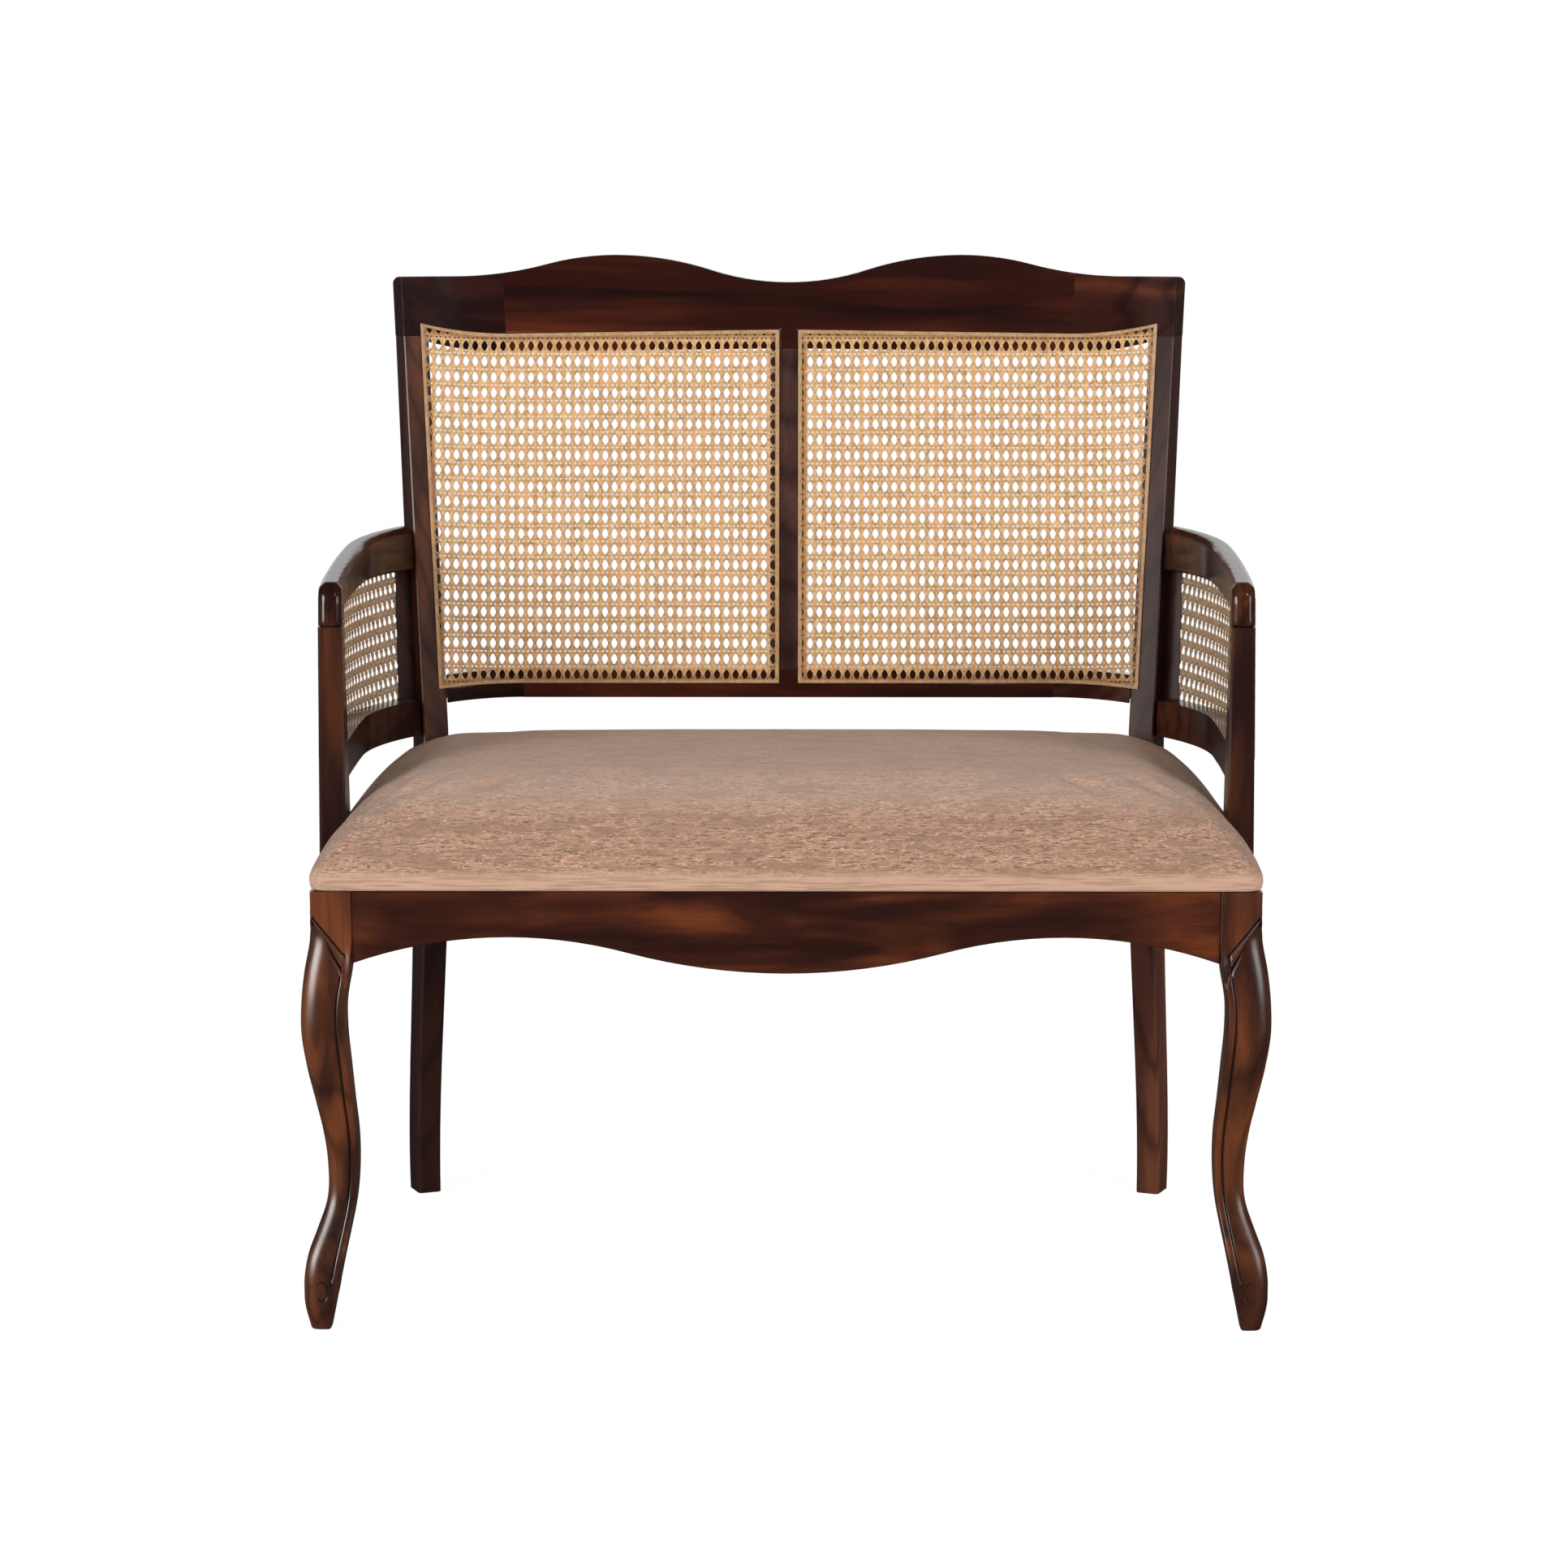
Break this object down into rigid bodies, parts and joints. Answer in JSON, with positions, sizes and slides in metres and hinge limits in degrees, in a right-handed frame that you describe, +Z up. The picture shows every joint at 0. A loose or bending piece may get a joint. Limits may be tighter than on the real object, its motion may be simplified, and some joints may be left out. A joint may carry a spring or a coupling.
{
  "type": "two-seat wooden settee",
  "caption": "Two-seat wooden settee with cabriole front legs, serpentine crest and front rail, caned back panels, bowed caned arms and a crowned upholstered seat.",
  "frame": {"origin": "middle of the whole on the floor: half the width, half the depth, feet at Z 0", "axes": "+X to the right seen from the front, +Y to the back, +Z up"},
  "size_m": [0.8758, 0.6186, 0.96],
  "materials": {
    "wood_dark": "gloss lacquer over dark red-brown stain",
    "wood_pale": "bare",
    "cane": "natural, slightly glossy",
    "spline": "natural, matte",
    "fabric": "woven chenille, matte",
    "foam": "open cell",
    "plywood": "bare",
    "steel": "zinc plated"
  },
  "bodies": {
    "root": {"arm_cane_left": "cane", "arm_cane_right": "cane", "arm_lower_rail_left": "wood_dark", "arm_lower_rail_right": "wood_dark", "arm_post_left": "wood_dark", "arm_post_right": "wood_dark", "arm_rail_left": "wood_dark", "arm_rail_right": "wood_dark", "arm_spline_left": "spline", "arm_spline_right": "spline", "arm_upright_left": "wood_dark", "arm_upright_right": "wood_dark", "back_cane_left": "cane", "back_cane_right": "cane", "back_spline_left": "spline", "back_spline_right": "spline", "center_stile": "wood_dark", "corner_blocks": "wood_pale", "crest_center": "wood_dark", "crest_wing_left": "wood_dark", "crest_wing_right": "wood_dark", "cross_rail": "wood_pale", "front_leg_left": "wood_dark", "front_leg_right": "wood_dark", "front_rail": "wood_dark", "lower_back_rail_center": "wood_dark", "lower_back_rail_wing_left": "wood_dark", "lower_back_rail_wing_right": "wood_dark", "rear_leg_left": "wood_dark", "rear_leg_right": "wood_dark", "rear_rail": "wood_dark", "seat_board": "plywood", "seat_cover": "fabric", "seat_foam": "foam", "seat_screws": "steel", "side_rail_left": "wood_dark", "side_rail_right": "wood_dark"}
  },
  "joints": []
}
